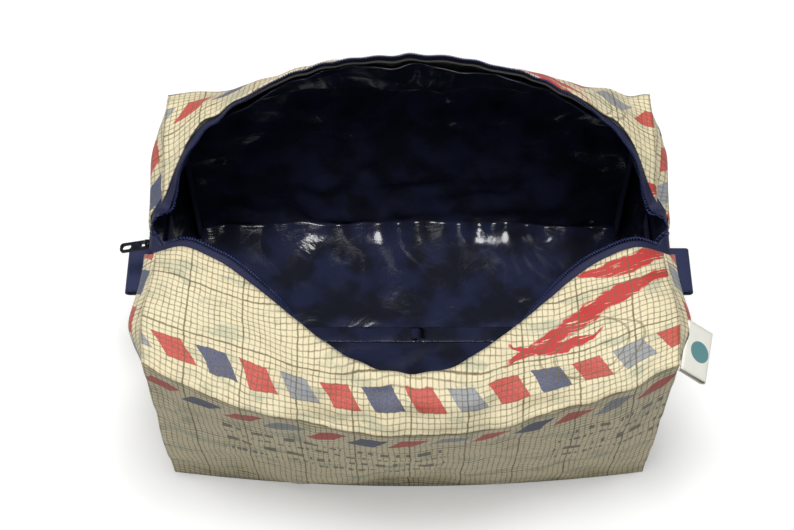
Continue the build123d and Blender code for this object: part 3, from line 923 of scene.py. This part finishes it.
# the label leaves the right front corner seam and droops
LABEL_REACH, LABEL_WIDTH, LABEL_CLOTH, LABEL_FOLD_GAP, LABEL_FLARE = 16.0, 26.0, 0.5, 2.4, 0.3
LABEL_Z = 112.0
LABEL_FROM_CORNER = 14.0
LABEL_HALF_THICKNESS = LABEL_CLOTH + LABEL_FOLD_GAP / 2
DROOP = math.radians(35)
flat_front = SEAM_Y - (HALF_DEPTH + SEAM_Y) * 0.62
slant = np.array([END_X - HALF_WIDTH, flat_front + HALF_DEPTH, 0])
slant /= np.linalg.norm(slant)
slant_out = np.array([slant[1], -slant[0], 0])
label_toward = slant_out * math.cos(DROOP) - np.array([0, 0, 1]) * math.sin(DROOP)
label_off = slant_out * (CLEARANCE + LABEL_HALF_THICKNESS * math.sin(DROOP))
label_root = np.array([HALF_WIDTH, -HALF_DEPTH, LABEL_Z]) + slant * LABEL_FROM_CORNER + label_off
label = folded_ribbon("label", "side_label", label_root, label_toward, slant,
                      LABEL_REACH, LABEL_WIDTH, LABEL_CLOTH, LABEL_FOLD_GAP, LABEL_FLARE)
finish_with(label, label_material)

for node in list(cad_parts):
    if node.endswith("binding"):
        strip_material = lining_material if node == "base_seam_binding" else binding_material
        finish_with(bound_strip(node.replace("binding", "bound_edge"), node), strip_material)

METAL_ROUND = 0.12
for node in ("slider_body", "slider_bridge", "pull_tab", "zip_bottom_stop", "zip_top_stops"):
    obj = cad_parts[node]
    for place in obj.material_slots:
        place.material = metal_material
    if not obj.material_slots:
        obj.data.materials.append(metal_material)
    soft = obj.modifiers.new("edges", "BEVEL")
    soft.width = METAL_ROUND * MM
    soft.segments = 2
    soft.limit_method = "ANGLE"


# ---------------------------------------------------------------- table, light and camera
TABLE_REACH = 6.0  # metres from the middle, as are the places of the lamps
TABLE_GREY = 0.70
TABLE_GLOW = 0.36  # seen by the camera only, so that the table goes white
FAR_GLOW = 0.8
GLOW_NEAR, GLOW_FAR = 0.25, 0.9
WORLD_TINT = (0.93, 0.97, 1, 1)
WORLD_FILL = 0.15
WORLD_SEEN = 0.85


def make_floor():
    build = bmesh.new()
    corners = ((-1, -1), (1, -1), (1, 1), (-1, 1))
    build.faces.new([build.verts.new((a * TABLE_REACH, b * TABLE_REACH, 0)) for a, b in corners])
    bmesh.ops.subdivide_edges(build, edges=build.edges, cuts=8, use_grid_fill=True)
    mesh = bpy.data.meshes.new("table")
    build.to_mesh(mesh)
    build.free()
    floor = new_object("table", mesh)
    s = Shader("table_top")
    tree = s.tree
    diffuse = s.node("ShaderNodeBsdfDiffuse")
    diffuse.inputs[0].default_value = (TABLE_GREY, TABLE_GREY, TABLE_GREY, 1)
    glow = s.node("ShaderNodeEmission")
    rays = s.node("ShaderNodeLightPath")
    distance = s.node("ShaderNodeVectorMath", operation="LENGTH")
    s.feed(distance.inputs[0], s.place())
    far = s.math("SUBTRACT", 1.0, s.band(distance.outputs["Value"], GLOW_NEAR, GLOW_FAR))
    level = s.math("ADD", s.math("MULTIPLY", far, FAR_GLOW), TABLE_GLOW)
    s.feed(glow.inputs[1], s.math("MULTIPLY", rays.outputs["Is Camera Ray"], level))
    both = s.node("ShaderNodeAddShader")
    tree.links.new(diffuse.outputs[0], both.inputs[0])
    tree.links.new(glow.outputs[0], both.inputs[1])
    out = next(n for n in tree.nodes if n.type == "OUTPUT_MATERIAL")
    tree.links.new(both.outputs[0], out.inputs[0])
    tree.nodes.remove(s.bsdf)
    mesh.materials.append(s.material)


make_floor()


def make_world():
    world = bpy.data.worlds.new("studio")
    bpy.context.scene.world = world
    world.use_nodes = True
    tree = world.node_tree
    background = tree.nodes["Background"]
    background.inputs[0].default_value = WORLD_TINT
    rays = tree.nodes.new("ShaderNodeLightPath")
    seen = tree.nodes.new("ShaderNodeMath")
    seen.operation = "MULTIPLY_ADD"
    tree.links.new(rays.outputs["Is Camera Ray"], seen.inputs[0])
    seen.inputs[1].default_value = WORLD_SEEN
    seen.inputs[2].default_value = WORLD_FILL
    tree.links.new(seen.outputs[0], background.inputs[1])


make_world()


def area_lamp(name, place, target, size, power):
    lamp = bpy.data.lights.new(name, "AREA")
    lamp.shape = "RECTANGLE"
    lamp.size, lamp.size_y = size
    lamp.energy = power
    obj = bpy.data.objects.new(name, lamp)
    bpy.context.scene.collection.objects.link(obj)
    obj.location = place
    obj.rotation_euler = (Vector(target) - Vector(place)).to_track_quat("-Z", "Y").to_euler()


area_lamp("top_light", (0.05, -0.06, 1.5), (0, 0, 0.05), (0.6, 0.45), 19.0)
area_lamp("side_light", (-1.1, 0.3, 0.9), (0, 0, 0.08), (0.6, 0.6), 3.0)

CAMERA = Vector((-6.0, -400.6, 734.4)) * MM
TARGET = Vector((-6.0, -24.1, 120.0)) * MM
SENSOR = 36.0  # millimetres across the picture
FOCUS_PIXELS = 1551
PICTURE_PIXELS = 794
camera_data = bpy.data.cameras.new("camera")
camera_data.sensor_width = SENSOR
camera_data.lens = SENSOR * FOCUS_PIXELS / PICTURE_PIXELS
camera_data.clip_start = 0.01
camera = bpy.data.objects.new("camera", camera_data)
bpy.context.scene.collection.objects.link(camera)
camera.location = CAMERA
camera.rotation_euler = (TARGET - CAMERA).to_track_quat("-Z", "Y").to_euler()
bpy.context.scene.camera = camera
bpy.context.scene.view_settings.view_transform = "Standard"
